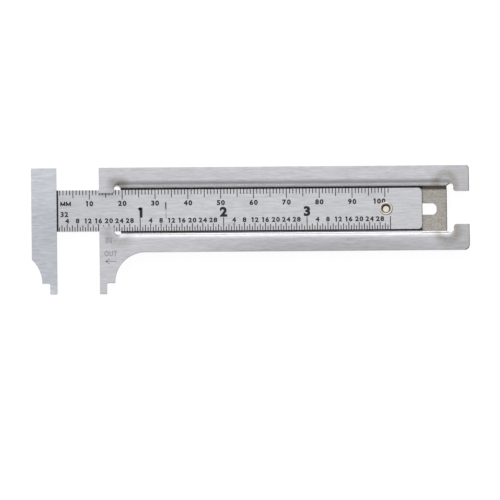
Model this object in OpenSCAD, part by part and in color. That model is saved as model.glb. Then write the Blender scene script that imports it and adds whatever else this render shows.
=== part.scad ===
// Pocket slide caliper: a graduated rule with a fixed jaw runs in a pressed channel body,
// whose front sheet carries the sliding jaw. A shouldered rivet in the rule is the stop.
//
// X runs along the rule, away from the fixed jaw. Y runs across it, away from the jaw tips.
// Z points out of the graduated face. The origin lies on the measuring face of the fixed
// jaw, on the centreline of the rule, at half the thickness of the jaw.

/* [Opening] */
// Gap between the jaws as the caliper lies
opening = 12.9; // [0:0.1:89]

/* [Rule] */
// Width of the rule
rule_w = 12.7; // [10:0.1:16]
// Thickness of the rule
rule_t = 1; // [0.6:0.1:2]
// Distance from the rear edge of the body in to the free end of the rule, with the jaws closed
rule_inset = 1.3; // [1:0.1:8]
// Radius of the two corners at the free end
rule_corner_r = 1.2; // [0.4:0.1:3]

/* [Graduations] */
// Length of both scales
scale_len = 101.6; // [50.8:25.4:101.6]
// One centimetre
centimetre = 10; // [10]
// Parts that each centimetre is divided into
centimetre_parts = 10; // [10, 20]
// One inch
inch = 25.4; // [25.4]
// Parts that each inch is divided into
inch_parts = 32; // [16, 32]
// Width of a line
line_w = 0.24; // [0.1:0.02:0.3]
// Width of the broad line beside the fixed jaw
zero_line_w = 0.5; // [0.2:0.1:0.8]
// Depth to which the lines are etched
line_depth = 0.05; // [0.02:0.01:0.1]
// Length of a millimetre line
mm_line = 1.5; // [1:0.1:2]
// Length of every fifth millimetre line
five_mm_line = 2.35; // [2:0.05:2.6]
// Length of every tenth millimetre line
ten_mm_line = 2.9; // [2.7:0.1:3.2]
// Length of the shortest line of the inch scale
small_inch_line = 1.25; // [1:0.05:1.5]
// Length of every second line of the inch scale
second_inch_line = 1.85; // [1.6:0.05:2]
// Length of every fourth line of the inch scale
fourth_inch_line = 2.25; // [2:0.05:2.5]
// Length of the line at each full inch
full_inch_line = 4; // [3:0.1:4.2]

/* [Jaws] */
// Width of the fixed jaw
fixed_jaw_w = 7.7; // [6.5:0.1:10]
// Thickness of the fixed jaw
fixed_jaw_t = 1.2; // [0.6:0.1:1.6]
// Distance from the centreline to the tips of both jaws
jaw_reach = 25.9; // [25:0.1:30]
// Length of the narrow tips for measuring inside
nib_len = 3.4; // [2:0.1:4]
// Width of each narrow tip
nib_w = 2.2; // [1.5:0.1:3]
// Fillet where a narrow tip leaves its jaw
nib_root_r = 0.5; // [0.2:0.1:0.8]
// Radius of the corners at the tip of the fixed jaw
nib_tip_r = 0.5; // [0.2:0.1:0.7]
// Width of the fixed jaw where its sweep ends
fixed_neck_w = 4.6; // [4:0.1:6]
// Radius of the sweep in the back of the fixed jaw
fixed_sweep_r = 10.2; // [7:0.1:12]
// Width of the sliding jaw where its sweep ends
sliding_neck_w = 4.7; // [4:0.1:6]
// Radius of the sweep from the sliding jaw into the body
sliding_sweep_r = 9.3; // [7:0.1:9.4]

/* [Channel body] */
// Length of the body
body_len = 112.7; // [106:0.1:120]
// Thickness of the sheet
sheet_t = 1.2; // [0.6:0.1:1.4]
// Width of the flat flange along each side
flange_w = 3.9; // [3:0.1:8]
// Radius in the corner between the floor and the wall
floor_bend_r = 0.3; // [0.2:0.1:0.6]
// Length along the rule of the two front lips
front_lip_len = 4.7; // [3:0.1:6]
// Length along the rule of the two rear lips
rear_lip_len = 4.8; // [3:0.1:6]
// Width of the rule that each lip covers
lip_lap = 1.2; // [0.6:0.05:2]
// Radius of the inner corner of each lip
lip_corner_r = 0.9; // [0.3:0.1:1.2]
// Distance that the drawn bend reaches into a lip
draw_reach = 0.5; // [0.1:0.05:0.6]
// Amount by which the relief hole is wider than its slit, on each side
relief_swell = 0.07; // [0.05:0.01:0.12]
// Distance from the foot of the wall in to the centre of a relief hole
relief_inset = 0.1; // [0:0.05:0.25]
// Radius of the rear corner on the side away from the jaws
rear_corner_r = 1; // [0.5:0.1:3]
// Radius of the rear corner on the side of the jaws
jaw_side_corner_r = 1.6; // [0.5:0.1:3]
// Width of the floor between its front edge and the slot
slot_front_web = 2.7; // [2:0.1:8]
// Radius of the corners of the floor slot
slot_corner_r = 1.4; // [0.5:0.1:1.5]

/* [Stop rivet] */
// Distance from the free end of the rule in to the rivet
rivet_inset = 11.1; // [10:0.1:13]
// Diameter of the shoulder that runs in the floor slot
shoulder_d = 3.5; // [3.2:0.1:4]
// Diameter of the tenon that holds the rule
tenon_d = 2.9; // [2.85:0.05:2.95]
// Outer diameter of the rolled clinch
clinch_d = 4.15; // [4:0.05:4.5]
// Diameter of the mouth of the clinch
mouth_d = 2.7; // [2.4:0.05:2.75]
// Diameter of the flat bottom of the hollow
hollow_d = 1.75; // [1.2:0.05:2]
// Depth of the hollow below the face of the rule
hollow_depth = 1.2; // [0.6:0.1:1.6]
// Diameter of the rivet head behind the floor
head_d = 5.6; // [5:0.1:7]
// Thickness of the rivet head
head_t = 0.8; // [0.5:0.1:1.2]
// Radius of the edge of the rivet head
head_edge_r = 0.4; // [0.1:0.1:0.4]

/* [Clearances] */
// Gap between the rule and the foot of each wall
side_gap = 0.4; // [0.1:0.05:0.5]
// Gap between the rule and the channel floor
floor_gap = 0.05; // [0.03:0.01:0.1]
// Gap between the rule and the lips
lip_gap = 0.15; // [0.05:0.01:0.2]
// Gap on each side between the rivet shoulder and the slot
slot_gap = 0.05; // [0.03:0.01:0.1]
// Gap between the rivet head and the floor
head_gap = 0.05; // [0.03:0.01:0.1]
// Gap around the tenon in the rule
tenon_gap = 0.01; // [0.01:0.01:0.03]
// Gap from the rivet to the end of the slot with the jaws closed
closed_end_gap = 0.8; // [0.3:0.1:1]

/* [Hidden] */
$fn = 96;

// Amount by which a cut runs past the surface that it starts from
overrun = 0.5 * sheet_t;
// Width over which two stretches of the same sheet are laid on each other
sheet_lap = 0.4 * sheet_t;
// Amount that keeps a whole number of divisions whole when a length is divided
count_slack_share = 0.001;
// Every second and every fourth line of the inch scale is a longer one
second_part = 2;
fourth_part = 4;

// Levels
rule_front_z = -fixed_jaw_t / 2;
rule_back_z = rule_front_z - rule_t;
floor_front_z = rule_back_z - floor_gap;
floor_back_z = floor_front_z - sheet_t;
flange_back_z = rule_front_z + lip_gap;
head_front_z = floor_back_z - head_gap;
head_back_z = head_front_z - head_t;

// Depth to which the floor is pressed below the flange, and the two bends that make it up
press_depth = flange_back_z - floor_back_z;
shoulder_bend_r = press_depth - floor_bend_r;
bend_run = shoulder_bend_r + floor_bend_r;

// Distances from the centreline
rule_half_w = rule_w / 2;
lip_y = rule_half_w - lip_lap;
foot_y = rule_half_w + side_gap;
shoulder_y = foot_y + bend_run;
body_half_w = shoulder_y + flange_w;

// Distances from the measuring face of the fixed jaw
rule_reach = body_len - rule_inset;
rivet_x = rule_reach - rivet_inset;

// Distances from the measuring face of the sliding jaw
relief_len = bend_run - draw_reach;
relief_r = relief_len / 2 + relief_swell;
relief_y = foot_y - relief_inset;
floor_start = front_lip_len + relief_len;
floor_end = body_len - rear_lip_len - relief_len;
shoulder_r = shoulder_d / 2;
slot_half_w = shoulder_r + slot_gap;
slot_start = floor_start + slot_front_web;
slot_end = rivet_x + shoulder_r + closed_end_gap;

// Counts and pitches of lines
mm_pitch = centimetre / centimetre_parts;
inch_pitch = inch / inch_parts;
mm_lines = floor(scale_len / mm_pitch + count_slack_share);
inch_lines = floor(scale_len / inch_pitch + count_slack_share);

// Waste outside a rounded corner that stands at the origin, with the material in +X and +Y
module corner_waste(r) {
    difference() {
        translate([-overrun, -overrun]) square(r + overrun);
        translate([r, r]) circle(r);
    }
}

// Fillet in an inner corner at the origin, with the material in -X and in +Y
module corner_fillet(r) {
    difference() {
        translate([-r, -r]) square(r * 2);
        translate([r, -r]) circle(r);
    }
}

// Rectangle from the origin with four rounded corners
module round_rect(size, r) {
    translate([r, 0]) square([size.x - r * 2, size.y]);
    translate([0, r]) square([size.x, size.y - r * 2]);
    for (x = [r, size.x - r], y = [r, size.y - r]) {
        translate([x, y]) circle(r);
    }
}

// Quarter of a ring about the origin, in the quadrant that the two signs name
module quarter_ring(inner_r, outer_r, side_x, side_y) {
    intersection() {
        difference() {
            circle(outer_r);
            circle(inner_r);
        }
        translate([min(side_x, 0) * outer_r, min(side_y, 0) * outer_r]) square(outer_r);
    }
}

// Length of the line with number n on the millimetre scale
function mm_line_len(n) =
    n % centimetre_parts == 0 ? ten_mm_line :
    n % (centimetre_parts / 2) == 0 ? five_mm_line : mm_line;

// Length of the line with number n on the inch scale
function inch_line_len(n) =
    n % inch_parts == 0 ? full_inch_line :
    n % fourth_part == 0 ? fourth_inch_line :
    n % second_part == 0 ? second_inch_line : small_inch_line;

// Plan of the rule, whose hidden end is flush with the back of the fixed jaw
module rule_plan() {
    difference() {
        translate([-fixed_jaw_w, -rule_half_w]) square([fixed_jaw_w + rule_reach, rule_w]);
        for (side = [0, 1]) {
            mirror([0, side]) translate([rule_reach, rule_half_w]) rotate(180) corner_waste(rule_corner_r);
        }
        translate([rivet_x, 0]) circle(tenon_d / 2 + tenon_gap);
    }
}

// Plan of the lines: a broad one at zero, millimetres on the upper edge, inches on the lower
module line_plan() {
    translate([0, -rule_half_w - overrun]) square([zero_line_w, rule_w + overrun * 2]);
    for (n = [1 : mm_lines]) {
        len = mm_line_len(n);
        translate([n * mm_pitch - line_w / 2, rule_half_w - len]) square([line_w, len + overrun]);
    }
    for (n = [1 : inch_lines]) {
        len = inch_line_len(n);
        translate([n * inch_pitch - line_w / 2, -rule_half_w - overrun]) square([line_w, len + overrun]);
    }
}

// Graduated rule, a flat plate with the lines etched into its face
module beam() {
    color([0.80, 0.80, 0.81]) difference() {
        translate([0, 0, rule_back_z]) linear_extrude(rule_t) rule_plan();
        translate([0, 0, rule_front_z - line_depth]) linear_extrude(line_depth + overrun) line_plan();
    }
}

// Narrow tip of a jaw whose measuring face is on X = 0, with its fillet at the shoulder
module nib_plan() {
    translate([0, -jaw_reach]) square([nib_w, nib_len + overrun]);
    translate([nib_w, -jaw_reach + nib_len]) corner_fillet(nib_root_r);
}

// Plate of the fixed jaw, drawn with its body in +X and then turned over to -X
module fixed_jaw() {
    shoulder = jaw_reach - nib_len;
    sweep_y = -body_half_w - sliding_sweep_r;
    color([0.76, 0.77, 0.80]) translate([0, 0, rule_front_z]) linear_extrude(fixed_jaw_t) mirror([1, 0]) {
        difference() {
            union() {
                translate([0, -shoulder]) square([fixed_jaw_w, shoulder + body_half_w]);
                nib_plan();
            }
            translate([fixed_neck_w + fixed_sweep_r, sweep_y]) circle(fixed_sweep_r);
            translate([fixed_neck_w, sweep_y - shoulder]) square([fixed_sweep_r, shoulder]);
            translate([0, -jaw_reach]) corner_waste(nib_tip_r);
            translate([nib_w, -jaw_reach]) mirror([1, 0]) corner_waste(nib_tip_r);
        }
    }
}

// Plan of the sliding jaw below the flange, which runs into the body in a quarter turn
module sliding_jaw_plan() {
    shoulder = jaw_reach - nib_len;
    reach_x = sliding_neck_w + sliding_sweep_r;
    difference() {
        translate([0, -shoulder]) square([reach_x, shoulder - body_half_w + overrun]);
        translate([reach_x, -body_half_w - sliding_sweep_r]) circle(sliding_sweep_r);
    }
    nib_plan();
}

// Opening at one end of the sheet, between its two lips and behind them as far as the floor
module end_opening(lip_len) {
    translate([-overrun, -lip_y]) square([lip_len + overrun * 2, lip_y * 2]);
    translate([lip_len, -foot_y]) square([relief_len + overrun, foot_y * 2]);
    for (side = [0, 1]) {
        mirror([0, side]) translate([lip_len, lip_y]) mirror([1, 0]) corner_waste(lip_corner_r);
    }
}

// Plan of the whole front sheet with its jaw, lips and corners
module sheet_plan() {
    difference() {
        union() {
            translate([0, -body_half_w]) square([body_len, body_half_w * 2]);
            sliding_jaw_plan();
        }
        end_opening(front_lip_len);
        translate([body_len, 0]) mirror([1, 0]) end_opening(rear_lip_len);
        translate([body_len, body_half_w]) rotate(180) corner_waste(rear_corner_r);
        translate([body_len, -body_half_w]) rotate(90) corner_waste(jaw_side_corner_r);
    }
}

// Plan of the part of the sheet that the press draws down
module drawn_plan() {
    half_w = shoulder_y + sheet_lap / 2;
    translate([floor_start, -half_w]) square([floor_end - floor_start, half_w * 2]);
    for (x = [floor_start, floor_end], y = [-foot_y, foot_y]) {
        translate([x, y]) circle(bend_run + sheet_lap / 2);
    }
}

// Section of the bend, outwards from the foot of the wall, with the back of the floor on Y = 0
module bend_section() {
    translate([0, sheet_t + floor_bend_r]) {
        quarter_ring(floor_bend_r, floor_bend_r + sheet_t, 1, -1);
    }
    translate([bend_run, sheet_t + floor_bend_r]) {
        quarter_ring(shoulder_bend_r - sheet_t, shoulder_bend_r, -1, 1);
    }
    translate([bend_run, press_depth]) square([sheet_lap, sheet_t]);
}

// Straight stretch of the channel, with the slot in its floor
module channel() {
    difference() {
        translate([floor_start, 0, 0]) rotate([90, 0, 90]) linear_extrude(floor_end - floor_start) {
            translate([-foot_y, 0]) square([foot_y * 2, sheet_t]);
            for (side = [0, 1]) {
                mirror([side, 0]) translate([foot_y, 0]) bend_section();
            }
        }
        translate([slot_start, -slot_half_w, -overrun]) linear_extrude(sheet_t + overrun * 2) {
            round_rect([slot_end - slot_start, slot_half_w * 2], slot_corner_r);
        }
    }
}

// Bends that fan round the four ends of the walls, as the sheet is drawn there
module drawn_corners() {
    for (y = [-foot_y, foot_y]) {
        translate([floor_start, y, 0]) rotate([0, 0, 90]) rotate_extrude(angle = 180) bend_section();
        translate([floor_end, y, 0]) rotate([0, 0, -90]) rotate_extrude(angle = 180) bend_section();
    }
}

// Channel body pressed from one sheet, with the sliding jaw, the reliefs and the floor slot
module slide_body() {
    total_h = press_depth + sheet_t;
    color([0.78, 0.78, 0.80]) translate([opening, 0, floor_back_z]) difference() {
        union() {
            translate([0, 0, press_depth]) linear_extrude(sheet_t) {
                difference() {
                    sheet_plan();
                    drawn_plan();
                }
            }
            intersection() {
                drawn_corners();
                translate([0, 0, -overrun]) linear_extrude(total_h + overrun * 2) sheet_plan();
            }
            channel();
        }
        for (x = [floor_start - relief_len / 2, floor_end + relief_len / 2], y = [-relief_y, relief_y]) {
            translate([x, y, -overrun]) cylinder(r = relief_r, h = total_h + overrun * 2);
        }
    }
}

// Section of the rivet from its axis outwards: head, shoulder, tenon and rolled clinch
module rivet_section() {
    ring_r = (clinch_d - mouth_d) / 4;
    head_r = head_d / 2;
    hollow_z = rule_front_z - hollow_depth;
    translate([0, head_back_z]) square([head_r - head_edge_r, head_t]);
    translate([0, head_back_z + head_edge_r]) square([head_r, head_t - head_edge_r]);
    translate([head_r - head_edge_r, head_back_z + head_edge_r]) circle(head_edge_r);
    translate([0, head_front_z]) square([shoulder_r, rule_back_z - head_front_z]);
    difference() {
        translate([0, rule_back_z]) square([tenon_d / 2, rule_t]);
        polygon([
            [0, hollow_z],
            [hollow_d / 2, hollow_z],
            [mouth_d / 2, rule_front_z],
            [0, rule_front_z],
        ]);
    }
    intersection() {
        translate([mouth_d / 2 + ring_r, rule_front_z]) circle(ring_r);
        translate([0, rule_front_z]) square(clinch_d);
    }
}

// Shouldered semi-tubular rivet, clinched over the face of the rule
module stop_rivet() {
    color([0.80, 0.77, 0.72]) translate([rivet_x, 0, 0]) rotate_extrude() rivet_section();
}

beam();
fixed_jaw();
slide_body();
stop_rivet();
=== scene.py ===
"""Looks for a pocket slide caliper: belt finished steel, black filled graduations and studio light.

X runs along the rule away from the fixed jaw, Y across it away from the jaw tips, and Z out
of the graduated face. The origin lies on the measuring face of the fixed jaw.
"""

import math
from collections import namedtuple

import bmesh
import bpy
from mathutils import Matrix, Vector


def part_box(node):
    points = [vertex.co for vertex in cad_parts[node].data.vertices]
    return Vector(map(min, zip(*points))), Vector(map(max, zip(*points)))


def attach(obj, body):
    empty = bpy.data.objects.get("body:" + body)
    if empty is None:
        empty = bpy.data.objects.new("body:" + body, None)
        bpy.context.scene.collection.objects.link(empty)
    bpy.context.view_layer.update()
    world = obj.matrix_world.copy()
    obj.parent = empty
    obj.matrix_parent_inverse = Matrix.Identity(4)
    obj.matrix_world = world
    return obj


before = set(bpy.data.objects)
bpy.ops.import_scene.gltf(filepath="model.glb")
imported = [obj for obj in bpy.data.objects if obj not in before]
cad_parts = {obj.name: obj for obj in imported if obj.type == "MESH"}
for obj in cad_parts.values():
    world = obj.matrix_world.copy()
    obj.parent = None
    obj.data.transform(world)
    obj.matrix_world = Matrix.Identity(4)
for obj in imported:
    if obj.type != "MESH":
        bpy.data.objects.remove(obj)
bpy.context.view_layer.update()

MM = 0.001

# The real width that the photograph takes in, and the object point at its centre
VIEW_W = 152.1 * MM
VIEW_CENTRE_X = 58.7 * MM
VIEW_CENTRE_Y = -12.5 * MM

# The camera leans this far to the jaw tips' side and to the left, and is turned this far clockwise
VIEW_TILT = math.radians(10)
VIEW_SIDE = math.radians(-1.6)
VIEW_ROLL = math.radians(0.45)

# A long lens, as the photograph has hardly any perspective
LENS = 1000
SENSOR_W = 36

# Corners of the CAD nodes, from their meshes
RULE_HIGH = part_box("beam")[1]
BODY_LOW, BODY_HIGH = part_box("slide_body")
RIVET_LOW, RIVET_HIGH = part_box("stop_rivet")
JAW_LOW, JAW_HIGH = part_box("fixed_jaw")
RULE_FACE = RULE_HIGH.z
RULE_HALF_W = RULE_HIGH.y
RIVET_X = (RIVET_LOW.x + RIVET_HIGH.x) / 2

# The channel of the body: its sheet, its floor face, its walls from foot to bend, and its floor's ends
SHEET_T = 1.2 * MM
FLOOR_FACE = BODY_LOW.z + SHEET_T
FOOT_Y = 6.75 * MM
WALL_Y = 7.3 * MM
FLOOR_START = BODY_LOW.x + 6.6 * MM
FLOOR_END = BODY_HIGH.x - 6.7 * MM

# Outer line of the rail beside the jaws
RAIL_EDGE_Y = -14 * MM

# A zone on the floor reaches this far below and above its face
BELOW_FACE, ABOVE_FACE = 0.1 * MM, 0.02 * MM

# Graduations, as they are etched in the rule
SCALE_LEN = 101.6 * MM
MM_PITCH = 1 * MM
INCH = 25.4 * MM
INCH_PARTS = 32
LINE_W = 0.24 * MM
ZERO_LINE_W = 0.5 * MM
LINE_DEPTH = 0.05 * MM
MM_LINE, FIVE_MM_LINE, TEN_MM_LINE = 1.5 * MM, 2.35 * MM, 2.9 * MM
SMALL_INCH_LINE, SECOND_INCH_LINE = 1.25 * MM, 1.85 * MM
FOURTH_INCH_LINE, FULL_INCH_LINE = 2.25 * MM, 4 * MM

# The black enamel stands this much below the face in the lines, and this much above it as print
FILL_DROP = 0.005 * MM
PRINT_T = 0.012 * MM

# Rows of the numbers on the rule, and their heights
MM_ROW, PART_ROW, INCH_ROW = 2.22 * MM, -3.12 * MM, -0.62 * MM
MM_TALL, PART_TALL, INCH_TALL = 1.65 * MM, 1.55 * MM, 3.15 * MM

# The 100 stands left of its line and a trace higher than its row, clear of the rivet
HUNDRED_X, HUNDRED_Y = 98.3 * MM, 2.35 * MM

# The unit, and below it the count of parts in an inch: middle and height
UNIT_X, UNIT_Y, UNIT_TALL = 2.75 * MM, 2.17 * MM, 1.32 * MM
COUNT_X, COUNT_Y, COUNT_TALL = 2.35 * MM, -1.1 * MM, 1.6 * MM

# Stamp marks on the sliding jaw: middle, with X from the front edge of the jaw, and height
IN_X, IN_Y, IN_TALL = 2.8 * MM, -9.4 * MM, 1.9 * MM
OUT_X, OUT_Y, OUT_TALL = 3.4 * MM, -13.5 * MM, 1.8 * MM

# The stamped arrow: the place of its tip, and in millimetres its length, barbs and stroke
ARROW_X, ARROW_Y = 1.9 * MM, -15.9 * MM
ARROW_LEN, BARB_X, BARB_Y, ARROW_STROKE = 3.2, 1.2, 0.85, 0.3

# Space between two letters, in the font's own units
LETTER_GAP = 0.1

# The belt leaves coarse marks among the fine ones: their share, and how far the gloss varies by them
COARSE_SHARE = 0.4
GLOSS_SPREAD = 0.03

# Painted shade along the edges that face the rule's free end, as they turn from the light: its width,
# its darkness, and where it starts on rule and hooks
EDGE_SHADE_W = 0.45 * MM
EDGE_SHADE_SHARE = 0.9
RULE_EDGE_SHADE_X = RULE_HIGH.x - 3 * MM
HOOK_EDGE_SHADE_X = FLOOR_END - 1 * MM

# The scratch across the rule: its left edge, its width, its two ends and where its deeper part starts
SCRATCH_X, SCRATCH_W = 33.2 * MM, 0.15 * MM
SCRATCH_LOW_Y, SCRATCH_DEEP_Y, SCRATCH_HIGH_Y = -2.6 * MM, 0.5 * MM, 2.4 * MM

# The studio: the sky tone that counts as full, the whole sky's level, and half the floor in metres
SKY_TOP = 1.5
SKY_LEVEL = 1.08
FLOOR_HALF_W = 40

# A zone with a finish of its own: its share of the surface from 0 to 1, the tint that the steel is
# multiplied by (it brightens above 1), its roughness, and how metallic it is
Zone = namedtuple("Zone", "share tint rough metal", defaults=[1.0])


def linear(hex_colour):
    """An sRGB hex colour as linear RGBA."""
    shares = [int(hex_colour[i : i + 2], 16) / 255 for i in (1, 3, 5)]
    return tuple(c / 12.92 if c <= 0.04045 else ((c + 0.055) / 1.055) ** 2.4 for c in shares) + (1,)


def add(tree, kind, inputs=None, stops=None, **settings):
    """Adds a node with its settings, its values and links by input name or place, and its ramp stops.

    A Mix node's inputs go by place: 0 is the share, 2 and 3 are two numbers, 6 and 7 two colours.
    """
    made = tree.nodes.new(kind)
    for name, value in settings.items():
        setattr(made, name, value)
    for name, value in (inputs or {}).items():
        if isinstance(value, bpy.types.NodeSocket):
            tree.links.new(value, made.inputs[name])
        else:
            made.inputs[name].default_value = value
    if stops:
        ramp = made.color_ramp
        for place, _ in stops[1:-1]:
            ramp.elements.new(place)
        for element, (place, level) in zip(ramp.elements, stops):
            element.position = place
            element.color = (level, level, level, 1)
    return made.outputs


def new_material(name):
    """A material with an empty tree, and the Object coordinates that its patterns lie on."""
    material = bpy.data.materials.new(name)
    material.use_nodes = True
    tree = material.node_tree
    tree.nodes.clear()
    return material, tree, add(tree, "ShaderNodeTexCoord")["Object"]


def belt_marks(tree, place, along, across, detail=3.0):
    """Marks that a belt leaves along X, from 0 to 1: the length and width are those of one mark.

    Real marks are about 0.05 mm wide, too fine for a render, so they are drawn as wide as it shows.
    """
    size = (1 / along, 1 / across, 1 / across)
    drawn_out = add(tree, "ShaderNodeMapping", {"Vector": place, "Scale": size})["Vector"]
    noise = {"Vector": drawn_out, "Scale": 1.0, "Detail": detail, "Roughness": 0.6}
    marks = add(tree, "ShaderNodeTexNoise", noise)["Fac"]
    # The noise keeps to the middle of its range, so that part is spread over the whole
    spread = {"Value": marks, "From Min": 0.3, "From Max": 0.7}
    return add(tree, "ShaderNodeMapRange", spread)["Result"]


def near_block(tree, place, low, high, fade):
    """1 in the block between two corners, and down to 0 over the fade distance round it.

    The fade is one distance, or one each along X, Y and Z.
    """
    middle = [(a + b) / 2 for a, b in zip(low, high)]
    half = [(b - a) / 2 for a, b in zip(low, high)]
    fades = fade if isinstance(fade, tuple) else (fade, fade, fade)
    off = add(tree, "ShaderNodeVectorMath", {0: place, 1: middle}, operation="SUBTRACT")["Vector"]
    off = add(tree, "ShaderNodeVectorMath", {0: off}, operation="ABSOLUTE")["Vector"]
    off = add(tree, "ShaderNodeVectorMath", {0: off, 1: half}, operation="SUBTRACT")["Vector"]
    off = add(tree, "ShaderNodeVectorMath", {0: off, 1: (0, 0, 0)}, operation="MAXIMUM")["Vector"]
    off = add(tree, "ShaderNodeVectorMath", {0: off, 1: fades}, operation="DIVIDE")["Vector"]
    far = add(tree, "ShaderNodeVectorMath", {0: off}, operation="LENGTH")["Value"]
    share = {"Value": far, "From Min": 1.0, "From Max": 0.0}
    return add(tree, "ShaderNodeMapRange", share, interpolation_type="SMOOTHSTEP")["Result"]


def drawn_fan(tree, place, middle, reach):
    """Faint streaks in a ring round the end of a wall, where the press stretched the sheet."""
    spokes, ring_len, faintest = 11, 2 * MM, 0.55
    clear_z, full_z = FLOOR_FACE + 0.3 * MM, FLOOR_FACE + 1.2 * MM
    off = add(tree, "ShaderNodeVectorMath", {0: place, 1: middle}, operation="SUBTRACT")["Vector"]
    parts = add(tree, "ShaderNodeSeparateXYZ", {"Vector": off})
    flat = add(tree, "ShaderNodeVectorMath", {0: off, 1: (1, 1, 0)}, operation="MULTIPLY")["Vector"]
    far = add(tree, "ShaderNodeVectorMath", {0: flat}, operation="LENGTH")["Value"]
    angle = add(tree, "ShaderNodeMath", {0: parts["Y"], 1: parts["X"]}, operation="ARCTAN2")["Value"]
    ring = add(tree, "ShaderNodeMath", {0: far, 1: 1 / ring_len}, operation="MULTIPLY")["Value"]
    spoke = add(tree, "ShaderNodeCombineXYZ", {"X": angle, "Y": ring})["Vector"]
    turned = add(tree, "ShaderNodeMapping", {"Vector": spoke, "Scale": (spokes, 1, 1)})["Vector"]
    streaks = add(tree, "ShaderNodeTexNoise", {"Vector": turned, "Scale": 1.0, "Detail": 3.0})["Fac"]
    streaks = {"Value": streaks, "From Min": 0.35, "From Max": 0.65, "To Min": faintest}
    streaks = add(tree, "ShaderNodeMapRange", streaks)["Result"]
    # The ring comes in between a fifth and a half of the reach, and is gone at the whole of it
    inner = {"Value": far, "From Min": 0.2 * reach, "From Max": 0.5 * reach}
    inner = add(tree, "ShaderNodeMapRange", inner, interpolation_type="SMOOTHSTEP")["Result"]
    outer = {"Value": far, "From Min": reach, "From Max": 0.5 * reach}
    outer = add(tree, "ShaderNodeMapRange", outer, interpolation_type="SMOOTHSTEP")["Result"]
    # The floor itself stays free of it
    raised = {"Value": parts["Z"], "From Min": clear_z, "From Max": full_z}
    raised = add(tree, "ShaderNodeMapRange", raised)["Result"]
    share = add(tree, "ShaderNodeMath", {0: inner, 1: outer}, operation="MULTIPLY")["Value"]
    share = add(tree, "ShaderNodeMath", {0: share, 1: raised}, operation="MULTIPLY")["Value"]
    return add(tree, "ShaderNodeMath", {0: share, 1: streaks}, operation="MULTIPLY")["Value"]


def steel(name, light, dark, fine, coarse, shine, edge_r, zones=(), edge_shade_from=None, lean=None):
    """Steel finished on a belt: two tones in fine and coarse marks, soft edges, and its own zones.

    Further along X than a given start, the edges that face the rule's free end get painted shade, as
    they turn from the light.
    The lean gives a share and a direction that the skin is eased towards.
    """
    material, tree, place = new_material(name)
    small = belt_marks(tree, place, *fine)
    large = belt_marks(tree, place, *coarse, detail=2.0)
    marks = add(tree, "ShaderNodeMix", {0: COARSE_SHARE, 2: small, 3: large})[0]
    tones = {0: marks, 6: linear(dark), 7: linear(light)}
    colour = add(tree, "ShaderNodeMix", tones, data_type="RGBA")[2]
    rough = {"Value": large, "To Min": shine + GLOSS_SPREAD, "To Max": shine - GLOSS_SPREAD}
    rough = add(tree, "ShaderNodeMapRange", rough)["Result"]
    metal = 1.0
    for find_zone in zones:
        zone = find_zone(tree, place)
        tinted = {0: zone.share, 6: colour, 7: zone.tint}
        colour = add(tree, "ShaderNodeMix", tinted, data_type="RGBA", blend_type="MULTIPLY")[2]
        rough = add(tree, "ShaderNodeMix", {0: zone.share, 2: rough, 3: zone.rough})[0]
        # A surface that is metal all over keeps its plain value on the shader
        if zone.metal < 1:
            metal = add(tree, "ShaderNodeMix", {0: zone.share, 2: metal, 3: zone.metal})[0]
    if edge_shade_from is not None:
        rim = add(tree, "ShaderNodeBevel", {"Radius": EDGE_SHADE_W}, samples=8)["Normal"]
        rim = add(tree, "ShaderNodeSeparateXYZ", {"Vector": rim})["X"]
        along = add(tree, "ShaderNodeSeparateXYZ", {"Vector": place})["X"]
        shade_onset = {"Value": along, "From Min": edge_shade_from - EDGE_SHADE_W, "From Max": edge_shade_from}
        shade_onset = add(tree, "ShaderNodeMapRange", {**shade_onset, "To Max": EDGE_SHADE_SHARE})["Result"]
        rim = {"Value": rim, "From Min": 0.05, "From Max": 0.25, "To Max": shade_onset}
        rim = add(tree, "ShaderNodeMapRange", rim)["Result"]
        # Painted shade: the edges that face the dim right are darkened in the colour
        painted_rim_shade = {0: rim, 6: colour, 7: linear("#2c2b2a")}
        colour = add(tree, "ShaderNodeMix", painted_rim_shade, data_type="RGBA", blend_type="MULTIPLY")[2]
    edge = add(tree, "ShaderNodeBevel", {"Radius": edge_r}, samples=8)["Normal"]
    if lean:
        share, way = lean(tree, place)
        tilt = {0: way, "Scale": share}
        tilt = add(tree, "ShaderNodeVectorMath", tilt, operation="SCALE")["Vector"]
        edge = add(tree, "ShaderNodeVectorMath", {0: edge, 1: tilt}, operation="ADD")["Vector"]
        edge = add(tree, "ShaderNodeVectorMath", {0: edge}, operation="NORMALIZE")["Vector"]
    relief = {"Strength": 0.2, "Distance": 0.01 * MM, "Height": small, "Normal": edge}
    relief = add(tree, "ShaderNodeBump", relief)["Normal"]
    finish = {"Base Color": colour, "Metallic": metal, "Roughness": rough, "Normal": relief}
    finish = add(tree, "ShaderNodeBsdfPrincipled", finish)["BSDF"]
    add(tree, "ShaderNodeOutputMaterial", {"Surface": finish})
    return material


def rule_scratch(tree, place):
    """A worn scratch across the middle of the rule, where its bright skin is broken."""
    low = (SCRATCH_X, SCRATCH_LOW_Y, RULE_FACE)
    high = (SCRATCH_X + SCRATCH_W, SCRATCH_HIGH_Y, RULE_FACE)
    share = near_block(tree, place, low, high, fade=0.18 * MM)
    return Zone(share, linear("#dcdcde"), rough=0.4)


def rule_scratch_foot(tree, place):
    """The deeper end of that scratch, away from the jaw tips."""
    half_w = 0.1 * MM
    low = (SCRATCH_X - half_w, SCRATCH_DEEP_Y, RULE_FACE)
    high = (SCRATCH_X + half_w, SCRATCH_HIGH_Y, RULE_FACE)
    share = near_block(tree, place, low, high, fade=0.25 * MM)
    return Zone(share, linear("#96979a"), rough=0.4)


def rule_start(tree, place):
    """The start of the rule, a shade duller, fading out along it."""
    held_len = 8 * MM
    low = (0, -RULE_HALF_W, RULE_FACE)
    high = (held_len, RULE_HALF_W, RULE_FACE)
    share = near_block(tree, place, low, high, fade=25 * MM)
    return Zone(share, linear("#fafafb"), rough=0.32)


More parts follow.
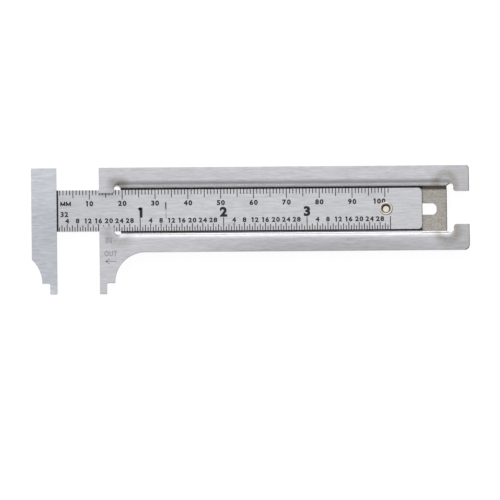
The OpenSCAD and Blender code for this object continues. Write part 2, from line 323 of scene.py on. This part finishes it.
def rule_steel():
    """Satin stainless steel of the rule: even and a trace cool, so that the black lines read well."""
    return steel(
        "satin_steel_rule", light="#dddde0", dark="#bfc0c5",
        fine=(2.5 * MM, 0.4 * MM), coarse=(7 * MM, 0.6 * MM), shine=0.3, edge_r=0.07 * MM,
        zones=[rule_scratch, rule_scratch_foot, rule_start],
        edge_shade_from=RULE_EDGE_SHADE_X,
    )


def jaw_foot(tree, place):
    """The fixed jaw beside and below the rule, a shade duller than its top."""
    foot_y, head_y = -19 * MM, -3 * MM
    low = (JAW_LOW.x, foot_y, JAW_LOW.z)
    high = (JAW_HIGH.x, head_y, JAW_HIGH.z)
    share = near_block(tree, place, low, high, fade=(20 * MM, 8 * MM, 1 * MM))
    return Zone(share, linear("#f2f2f2"), rough=0.34)


def jaw_steel():
    """Belt ground stainless steel of the fixed jaw: cool grey with clear marks along the rule."""
    return steel(
        "ground_steel_jaw", light="#dfe1e8", dark="#bbbec7",
        fine=(2.2 * MM, 0.4 * MM), coarse=(6 * MM, 0.6 * MM), shine=0.32, edge_r=0.2 * MM,
        zones=[jaw_foot],
    )


def channel_floor(tree, place):
    """The floor of the channel, which the belt didn't reach: warm, grained and dull from the press."""
    grain_len, grain_w, start_lap = 0.45 * MM, 0.35 * MM, 3 * MM
    low = (FLOOR_START - start_lap, -FOOT_Y, FLOOR_FACE - BELOW_FACE)
    high = (BODY_HIGH.x, FOOT_Y, FLOOR_FACE + ABOVE_FACE)
    grain = belt_marks(tree, place, grain_len, grain_w)
    tones = {0: grain, 6: linear("#c2bbaf"), 7: linear("#fcf5e9")}
    tone = add(tree, "ShaderNodeMix", tones, data_type="RGBA")[2]
    share = near_block(tree, place, low, high, fade=0.3 * MM)
    return Zone(share, tone, rough=0.42)


def upper_wall_film(tree, place):
    """Painted highlight on the wall away from the jaws: a pale matt skin, brighter than white, stands in
    for light from the rule's face where bare steel is dark.
    """
    head_y, foot_z, head_z = 7.6 * MM, FLOOR_FACE + 0.4 * MM, FLOOR_FACE + 1.65 * MM
    low = (BODY_LOW.x, FOOT_Y, foot_z)
    high = (BODY_HIGH.x, head_y, head_z)
    share = near_block(tree, place, low, high, fade=0.3 * MM)
    return Zone(share, (1.65, 1.62, 1.58, 1), rough=0.45, metal=0.0)


def lower_wall_polish(tree, place):
    """The bend beside the jaws, which the press tool polished, with a painted highlight: its colour is
    lifted above its own so that it shows a sharp bright line.
    """
    head_y, foot_z, head_z = -8.2 * MM, FLOOR_FACE + 0.3 * MM, FLOOR_FACE + 2 * MM
    low = (BODY_LOW.x, head_y, foot_z)
    high = (BODY_HIGH.x, -FOOT_Y, head_z)
    share = near_block(tree, place, low, high, fade=0.3 * MM)
    return Zone(share, (1.2, 1.2, 1.2, 1), rough=0.17)


def lower_wall_lean(tree, place):
    """The skin of that bend near its foot, which the tool's edge laid flatter than the sheet."""
    head_y, foot_z, head_z = -7.35 * MM, FLOOR_FACE + 0.8 * MM, FLOOR_FACE + 1.5 * MM
    low = (BODY_LOW.x, head_y, foot_z)
    high = (BODY_HIGH.x, -FOOT_Y, head_z)
    share = near_block(tree, place, low, high, fade=0.4 * MM)
    towards_open_side = (0, -0.1, 1.1)
    return share, towards_open_side


def upper_corner_dirt(tree, place):
    """Painted shade in the corner of the channel away from the jaws: nearly black between rule and wall,
    where the gap lies in shadow.
    """
    inner_y, head_z = 6.4 * MM, FLOOR_FACE + 0.1 * MM
    low = (BODY_LOW.x, inner_y, FLOOR_FACE - BELOW_FACE)
    high = (RULE_HIGH.x, WALL_Y, head_z)
    share = near_block(tree, place, low, high, fade=0.3 * MM)
    return Zone(share, linear("#2c2926"), rough=0.6, metal=0.0)


def upper_corner_dust(tree, place):
    """Fainter painted shade in the same corner past the end of the rule."""
    inner_y, head_z = 6.3 * MM, FLOOR_FACE + 0.2 * MM
    low = (RULE_HIGH.x, inner_y, FLOOR_FACE - BELOW_FACE)
    high = (BODY_HIGH.x, WALL_Y, head_z)
    share = near_block(tree, place, low, high, fade=0.6 * MM)
    return Zone(share, linear("#8c8378"), rough=0.6, metal=0.4)


def lower_corner_dirt(tree, place):
    """Painted shade on the floor beside the jaws, in a narrower band, where the rule's edge shades the
    gap.
    """
    outer_y, inner_y = -6.55 * MM, -6.2 * MM
    low = (BODY_LOW.x, outer_y, FLOOR_FACE - BELOW_FACE)
    high = (RULE_HIGH.x, inner_y, FLOOR_FACE + ABOVE_FACE)
    share = near_block(tree, place, low, high, fade=0.15 * MM)
    return Zone(share, linear("#4a4642"), rough=0.6, metal=0.0)


def front_tone(tree, place):
    """The front of the body with the sliding jaw, a shade duller."""
    held_len = 15 * MM
    low = (BODY_LOW.x, BODY_LOW.y, 0)
    high = (BODY_LOW.x + held_len, BODY_HIGH.y, BODY_HIGH.z)
    share = near_block(tree, place, low, high, fade=25 * MM)
    return Zone(share, linear("#fcfcfd"), rough=0.31)


def dull_rail(tree, place):
    """The outer part of the rail beside the jaws, a shade duller there."""
    start_x, end_x, inner_y = 72 * MM, 96 * MM, -12.8 * MM
    low = (start_x, RAIL_EDGE_Y, 0)
    high = (end_x, inner_y, BODY_HIGH.z)
    share = near_block(tree, place, low, high, fade=(42 * MM, 6 * MM, 9 * MM))
    return Zone(share, linear("#e2e1e1"), rough=0.36)


def dull_hooks(tree, place):
    """The hooks at the rear, a shade duller than the rest, and the lower one more than the upper."""
    hook_len, inner_y = 3 * MM, -1 * MM
    low = (BODY_HIGH.x - hook_len, RAIL_EDGE_Y, 0)
    high = (BODY_HIGH.x, inner_y, BODY_HIGH.z)
    share = near_block(tree, place, low, high, fade=(9 * MM, 24 * MM, 9 * MM))
    return Zone(share, linear("#eeedec"), rough=0.36)


def front_corner_shade(tree, place):
    """Painted shade on the stretched sheet beside the front relief, away from the jaws, where the drawn
    corner turns from the light.
    """
    start, end, inner_y, outer_y = 4.8 * MM, 7 * MM, 7.6 * MM, 8.4 * MM
    low = (BODY_LOW.x + start, inner_y, 0)
    high = (BODY_LOW.x + end, outer_y, BODY_HIGH.z)
    share = near_block(tree, place, low, high, fade=(3.4 * MM, 3 * MM, 3 * MM))
    return Zone(share, linear("#d3cfc9"), rough=0.38)


def front_corner_fan(tree, place):
    """Streaks in the drawn corner at the front, beside the jaws."""
    middle = (FLOOR_START - 0.8 * MM, -FOOT_Y, 0)
    share = drawn_fan(tree, place, middle, reach=6 * MM)
    return Zone(share, linear("#e6e3de"), rough=0.36)


def upper_fan(tree, place):
    """Painted shade with warm streaks in the drawn corner at the rear, away from the jaws: the wall's
    dark band carried round the corner.
    """
    middle = (FLOOR_END - 0.5 * MM, FOOT_Y + 0.8 * MM, 0)
    share = drawn_fan(tree, place, middle, reach=5.2 * MM)
    return Zone(share, linear("#d8d2ca"), rough=0.36)


def lower_fan(tree, place):
    """Warm streaks in the drawn corner at the rear, beside the jaws."""
    middle = (FLOOR_END, -FOOT_Y - 0.5 * MM, 0)
    share = drawn_fan(tree, place, middle, reach=5.5 * MM)
    return Zone(share, linear("#dcd5cb"), rough=0.36)


def body_steel():
    """Pressed stainless sheet with belt finished rails: cool and fine, with a duller channel."""
    duller_parts = [front_tone, dull_rail, dull_hooks]
    stretched_and_shaded = [front_corner_shade, front_corner_fan, upper_fan, lower_fan]
    # Floor tone, painted highlights on both walls, and painted shade in the channel's corners
    pressed_and_highlit = [channel_floor, upper_wall_film, lower_wall_polish]
    corner_shades = [upper_corner_dirt, upper_corner_dust, lower_corner_dirt]
    return steel(
        "pressed_steel_body", light="#dcdce0", dark="#bebec3",
        fine=(2.5 * MM, 0.4 * MM), coarse=(7 * MM, 0.6 * MM), shine=0.3, edge_r=0.2 * MM,
        zones=duller_parts + stretched_and_shaded + pressed_and_highlit + corner_shades,
        edge_shade_from=HOOK_EDGE_SHADE_X, lean=lower_wall_lean,
    )


def rivet_hollow(tree, place):
    """Painted shade on the sloping wall of the hollow, which lies in shadow; its floor stays bright."""
    half_w, foot_z, head_z = 1.4 * MM, RULE_FACE - 0.9 * MM, RULE_FACE - 0.1 * MM
    low = (RIVET_X - half_w, -half_w, foot_z)
    high = (RIVET_X + half_w, half_w, head_z)
    share = near_block(tree, place, low, high, fade=0.08 * MM)
    return Zone(share, linear("#4a4138"), rough=0.6, metal=0.2)


def rivet_nickel():
    """Nickel plated rivet: smoother than the steel round it, and a trace warmer."""
    return steel(
        "nickel_plate_rivet", light="#efe8de", dark="#ddd4c8",
        fine=(0.6 * MM, 0.4 * MM), coarse=(1.2 * MM, 0.8 * MM), shine=0.22, edge_r=0.05 * MM,
        zones=[rivet_hollow],
    )


def stamped_steel():
    """Steel at the bottom of a light stamp mark: a shade darker than the jaw round it."""
    return steel(
        "stamped_steel_mark", light="#b0b0b5", dark="#98989d",
        fine=(2 * MM, 0.3 * MM), coarse=(6 * MM, 0.8 * MM), shine=0.4, edge_r=0.02 * MM,
    )


def black_enamel():
    """Baked black enamel in the etched lines and numbers: nearly black, with a dull gloss."""
    material, tree, place = new_material("black_enamel_fill")
    speck_w = 0.4 * MM
    specks = belt_marks(tree, place, speck_w, speck_w)
    tones = {0: specks, 6: linear("#131314"), 7: linear("#202022")}
    colour = add(tree, "ShaderNodeMix", tones, data_type="RGBA")[2]
    rough = add(tree, "ShaderNodeMapRange", {"Value": specks, "To Min": 0.5, "To Max": 0.62})["Result"]
    finish = add(tree, "ShaderNodeBsdfPrincipled", {"Base Color": colour, "Roughness": rough})["BSDF"]
    add(tree, "ShaderNodeOutputMaterial", {"Surface": finish})
    return material


def dress_cad_nodes():
    """Gives each CAD node its finish."""
    finishes = {
        "beam": rule_steel,
        "fixed_jaw": jaw_steel,
        "slide_body": body_steel,
        "stop_rivet": rivet_nickel,
    }
    for node, finish in finishes.items():
        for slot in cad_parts[node].material_slots:
            slot.material = finish()


def mesh_of(bm, name):
    """Turns a finished bmesh into a mesh and frees it."""
    mesh = bpy.data.meshes.new(name)
    bm.to_mesh(mesh)
    bm.free()
    return mesh


def finish_piece(mesh, name, body, slot, material):
    """Makes a shown piece of a finished mesh and lets it ride on its body."""
    for face in mesh.polygons:
        face.use_smooth = False
    mesh.materials.append(material)
    piece = bpy.data.objects.new(name, mesh)
    bpy.context.scene.collection.objects.link(piece)
    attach(piece, body)


def add_bar(bm, low, high):
    """A straight block between two corners."""
    place = Matrix.Translation((low + high) / 2) @ Matrix.Diagonal((*(high - low), 1))
    bmesh.ops.create_cube(bm, size=1, matrix=place)


def line_fill(enamel):
    """Enamel in every etched line of both scales, and in the broad zero line."""
    bm = bmesh.new()
    floor, top = RULE_FACE - LINE_DEPTH, RULE_FACE - FILL_DROP
    add_bar(bm, Vector((0, -RULE_HALF_W, floor)), Vector((ZERO_LINE_W, RULE_HALF_W, top)))
    for n in range(1, int(SCALE_LEN / MM_PITCH) + 1):
        length = TEN_MM_LINE if n % 10 == 0 else FIVE_MM_LINE if n % 5 == 0 else MM_LINE
        x = n * MM_PITCH
        low = Vector((x - LINE_W / 2, RULE_HALF_W - length, floor))
        add_bar(bm, low, Vector((x + LINE_W / 2, RULE_HALF_W, top)))
    for n in range(1, round(SCALE_LEN / INCH * INCH_PARTS) + 1):
        length = SMALL_INCH_LINE
        if n % INCH_PARTS == 0:
            length = FULL_INCH_LINE
        elif n % 4 == 0:
            length = FOURTH_INCH_LINE
        elif n % 2 == 0:
            length = SECOND_INCH_LINE
        x = n * INCH / INCH_PARTS
        low = Vector((x - LINE_W / 2, -RULE_HALF_W, floor))
        add_bar(bm, low, Vector((x + LINE_W / 2, -RULE_HALF_W + length, top)))
    finish_piece(mesh_of(bm, "line_fill"), "line_fill", "rule", "rule_steel", enamel)


def mesh_box(mesh):
    """Lowest and highest corner of a mesh."""
    places = [v.co for v in mesh.vertices]
    low = Vector([min(p[i] for p in places) for i in range(3)])
    high = Vector([max(p[i] for p in places) for i in range(3)])
    return low, high


def letter_mesh(letter, stroke):
    """One flat letter as a mesh one unit thick, in the font's own units, with bolder strokes."""
    curve = bpy.data.curves.new(letter, "FONT")
    curve.body = letter
    curve.extrude = 0.5
    curve.offset = stroke
    # Finer curves than this leave open edges in the 3, the 8 and the 9
    curve.resolution_u = 3
    shape = bpy.data.objects.new(letter, curve)
    bpy.context.scene.collection.objects.link(shape)
    depsgraph = bpy.context.evaluated_depsgraph_get()
    mesh = bpy.data.meshes.new_from_object(shape.evaluated_get(depsgraph))
    bpy.data.objects.remove(shape)
    return mesh


def stroke_mesh(strokes, thick):
    """A flat figure one unit thick, of straight strokes from (x0, y0) to (x1, y1)."""
    bm = bmesh.new()
    for x0, y0, x1, y1 in strokes:
        start, end = Vector((x0, y0, 0)), Vector((x1, y1, 0))
        along = (end - start).to_track_quat("X", "Z").to_matrix().to_4x4()
        size = Matrix.Diagonal(((end - start).length, thick, 1, 1))
        bmesh.ops.create_cube(bm, size=1, matrix=Matrix.Translation((start + end) / 2) @ along @ size)
    return mesh_of(bm, "strokes")


def word_mesh(word, stroke):
    """A word with its letters side by side and evenly spaced, in the font's own units.

    The font's 1 is a bare stem and its M fills up when small, so these two are made of strokes.
    """
    zero_low, zero_high = mesh_box(letter_mesh("0", stroke))
    bar_low, bar_high = mesh_box(letter_mesh("I", stroke))
    foot, head, thick = zero_low.y, zero_high.y, bar_high.x - bar_low.x
    tall, half = head - foot, thick / 2
    # The 1 has a flag at its head, and the M a dip at its middle that reaches the foot
    flag_x, flag_low, flag_high = -0.22 * tall, head - 0.2 * tall, head - 0.06 * tall
    dip_x, far_x = 0.4 * tall, 0.8 * tall
    own = {
        "1": [(0, foot, 0, head), (flag_x, flag_low, 0, flag_high)],
        "M": [
            (0, foot, 0, head), (0, head - half, dip_x, foot + half),
            (dip_x, foot + half, far_x, head - half), (far_x, foot, far_x, head),
        ],
    }
    bm = bmesh.new()
    pen = 0
    for letter in word:
        mesh = stroke_mesh(own[letter], thick) if letter in own else letter_mesh(letter, stroke)
        low, high = mesh_box(mesh)
        mesh.transform(Matrix.Translation((pen - low.x, 0, 0)))
        bm.from_mesh(mesh)
        bpy.data.meshes.remove(mesh)
        pen += high.x - low.x + LETTER_GAP * (2 if letter == "1" else 1)
    return mesh_of(bm, word)


def print_words(name, words, height, level, rides, wide=1.0, stroke=0.0):
    """Words of one height, each centred on its own point, as one thin piece on a face."""
    bm = bmesh.new()
    zero_low, zero_high = mesh_box(letter_mesh("0", stroke))
    scale = height / (zero_high.y - zero_low.y)
    for text, x, y in words:
        mesh = word_mesh(text, stroke)
        low, high = mesh_box(mesh)
        mesh.transform(Matrix.Translation(-(low + high) / 2))
        mesh.transform(Matrix.Diagonal((scale * wide, scale, PRINT_T, 1)))
        mesh.transform(Matrix.Translation((x, y, level + PRINT_T / 2)))
        bm.from_mesh(mesh)
        bpy.data.meshes.remove(mesh)
    finish_piece(mesh_of(bm, name), name, *rides)


def rule_numbers(enamel):
    """The numbers of both scales, the unit and the count of parts in an inch."""
    rides = ("rule", "rule_steel", enamel)
    words = [(str(n), n * MM, MM_ROW) for n in range(10, 100, 10)]
    words.append(("100", HUNDRED_X, HUNDRED_Y))
    print_words("millimetre_numbers", words, MM_TALL, RULE_FACE, rides, wide=1.06, stroke=0.05)
    words = []
    for inch in range(4):
        for part in range(4, INCH_PARTS, 4):
            words.append((str(part), inch * INCH + part * INCH / INCH_PARTS, PART_ROW))
    print_words("inch_part_numbers", words, PART_TALL, RULE_FACE, rides, wide=1.1, stroke=0.045)
    words = [(str(n), n * INCH, INCH_ROW) for n in (1, 2, 3)]
    print_words("inch_numbers", words, INCH_TALL, RULE_FACE, rides, wide=1.1, stroke=0.055)
    words = [("MM", UNIT_X, UNIT_Y)]
    print_words("unit_name", words, UNIT_TALL, RULE_FACE, rides, wide=1.1, stroke=0.055)
    words = [("32", COUNT_X, COUNT_Y)]
    print_words("inch_parts_name", words, COUNT_TALL, RULE_FACE, rides, wide=1.08, stroke=0.045)


def jaw_stamps():
    """Light stamp marks on the sliding jaw: which edge is read for inside and for outside."""
    rides = ("slide", "body_steel", stamped_steel())
    face, edge_x = BODY_HIGH.z, BODY_LOW.x
    words = [("IN", edge_x + IN_X, IN_Y)]
    print_words("stamped_inside_mark", words, IN_TALL, face, rides, wide=0.8, stroke=0.03)
    words = [("OUT", edge_x + OUT_X, OUT_Y)]
    print_words("stamped_outside_mark", words, OUT_TALL, face, rides, wide=0.72, stroke=0.03)
    # The arrow points at the face that is read for outside
    strokes = [(0, 0, ARROW_LEN, 0), (0, 0, BARB_X, BARB_Y), (0, 0, BARB_X, -BARB_Y)]
    arrow = stroke_mesh(strokes, ARROW_STROKE)
    arrow.transform(Matrix.Diagonal((MM, MM, PRINT_T, 1)))
    arrow.transform(Matrix.Translation((edge_x + ARROW_X, ARROW_Y, face + PRINT_T / 2)))
    finish_piece(arrow, "stamped_arrow", *rides)


def floor_paper():
    """Matt white paper: it shows as white, and keeps a soft shadow round the object."""
    material, tree, place = new_material("matt_white_paper")
    fibre_len = 1.5 * MM
    fibre = belt_marks(tree, place, fibre_len, fibre_len)
    tones = {0: fibre, 6: linear("#f2f2f2"), 7: linear("#f6f6f6")}
    colour = add(tree, "ShaderNodeMix", tones, data_type="RGBA")[2]
    paper = add(tree, "ShaderNodeBsdfDiffuse", {"Color": colour})["BSDF"]
    # The eye and the steel see a nearly white glow, over a little diffuse that keeps the shadow
    faint = add(tree, "ShaderNodeBsdfDiffuse", {"Color": linear("#787878")})["BSDF"]
    glow = add(tree, "ShaderNodeEmission", {"Color": linear("#ffffff"), "Strength": 0.9})["Emission"]
    rays = add(tree, "ShaderNodeLightPath")
    seen = {0: rays["Is Camera Ray"], 1: rays["Is Glossy Ray"]}
    seen = add(tree, "ShaderNodeMath", seen, operation="MAXIMUM")["Value"]
    seen = {0: seen, 1: rays["Is Transmission Ray"]}
    seen = add(tree, "ShaderNodeMath", seen, operation="MAXIMUM")["Value"]
    shown = add(tree, "ShaderNodeAddShader", {0: faint, 1: glow})["Shader"]
    shown = add(tree, "ShaderNodeMixShader", {0: seen, 1: paper, 2: shown})["Shader"]
    add(tree, "ShaderNodeOutputMaterial", {"Surface": shown})
    return material


def lay_floor():
    """A plain pale floor under the rivet head, which is the lowest point."""
    bm = bmesh.new()
    bmesh.ops.create_grid(bm, x_segments=1, y_segments=1, size=FLOOR_HALF_W)
    bmesh.ops.translate(bm, verts=bm.verts, vec=(VIEW_CENTRE_X, VIEW_CENTRE_Y, RIVET_LOW.z))
    mesh = mesh_of(bm, "floor")
    mesh.materials.append(floor_paper())
    floor = bpy.data.objects.new("floor", mesh)
    bpy.context.scene.collection.objects.link(floor)


def light_room():
    """A soft studio: bright past the rule's upper edge, dim at the jaw tips' side and at the right."""
    world = bpy.data.worlds.new("soft_studio")
    bpy.context.scene.world = world
    world.use_nodes = True
    tree = world.node_tree
    tree.nodes.clear()
    way = add(tree, "ShaderNodeTexCoord")["Generated"]
    parts = add(tree, "ShaderNodeSeparateXYZ", {"Vector": way})
    share = {"Value": parts["Y"], "From Min": -1.0, "From Max": 1.0}
    share = add(tree, "ShaderNodeMapRange", share)["Result"]
    # Tones from the horizon at the jaw tips' side, over the top, to the one past the upper edge
    stops = [
        (0.0, 0.77), (0.008, 0.72), (0.03, 0.58), (0.067, 0.44), (0.117, 0.38), (0.179, 0.4),
        (0.25, 0.48), (0.329, 0.58), (0.413, 0.69), (0.5, 0.8), (0.587, 0.92), (0.75, 0.94),
        (0.883, 1.12), (0.97, 1.42), (1.0, 1.49),
    ]
    stops = [(place, tone / SKY_TOP) for place, tone in stops]
    sweep = add(tree, "ShaderNodeValToRGB", {"Fac": share}, stops=stops)["Color"]
    # To the right the sky falls to three tenths
    full = SKY_LEVEL * SKY_TOP
    level = {"Value": parts["X"], "From Min": 0.1, "From Max": 0.7, "To Min": full, "To Max": 0.3 * full}
    level = add(tree, "ShaderNodeMapRange", level)["Result"]
    sky = add(tree, "ShaderNodeBackground", {"Color": sweep, "Strength": level})["Background"]
    add(tree, "ShaderNodeOutputWorld", {"Surface": sky})
    # A weak window, in metres and watts, past the upper edge and a little to the left
    lamp = bpy.data.lights.new("window", "AREA")
    lamp.shape = "RECTANGLE"
    lamp.size, lamp.size_y = 0.8, 0.6
    lamp.energy = 0.2
    window = bpy.data.objects.new("window", lamp)
    stand = Vector((VIEW_CENTRE_X - 0.1, 0.45, 0.5))
    toward = (Vector((VIEW_CENTRE_X, 0, 0)) - stand).to_track_quat("-Z", "Y").to_matrix().to_4x4()
    window.matrix_world = Matrix.Translation(stand) @ toward
    bpy.context.scene.collection.objects.link(window)


def place_camera():
    """A long lens far off, tilted towards the jaw tips and turned a trace clockwise."""
    data = bpy.data.cameras.new("camera")
    data.lens = LENS
    data.sensor_width = SENSOR_W
    distance = VIEW_W * LENS / SENSOR_W
    data.clip_start, data.clip_end = 0.1, 4 * distance
    camera = bpy.data.objects.new("camera", data)
    back = Vector((math.sin(VIEW_SIDE), -math.sin(VIEW_TILT), math.cos(VIEW_TILT))).normalized()
    right = Vector((1, 0, 0))
    right = (right - back * right.dot(back)).normalized()
    up = back.cross(right)
    turned_right = right * math.cos(VIEW_ROLL) - up * math.sin(VIEW_ROLL)
    turned_up = back.cross(turned_right)
    target = Vector((VIEW_CENTRE_X, VIEW_CENTRE_Y, RULE_FACE))
    rows = Matrix((turned_right, turned_up, back)).transposed().to_4x4()
    camera.matrix_world = Matrix.Translation(target + back * distance) @ rows
    bpy.context.scene.collection.objects.link(camera)
    bpy.context.scene.camera = camera


enamel = black_enamel()
dress_cad_nodes()
line_fill(enamel)
rule_numbers(enamel)
jaw_stamps()
lay_floor()
light_room()
place_camera()
bpy.context.scene.view_settings.view_transform = "Standard"
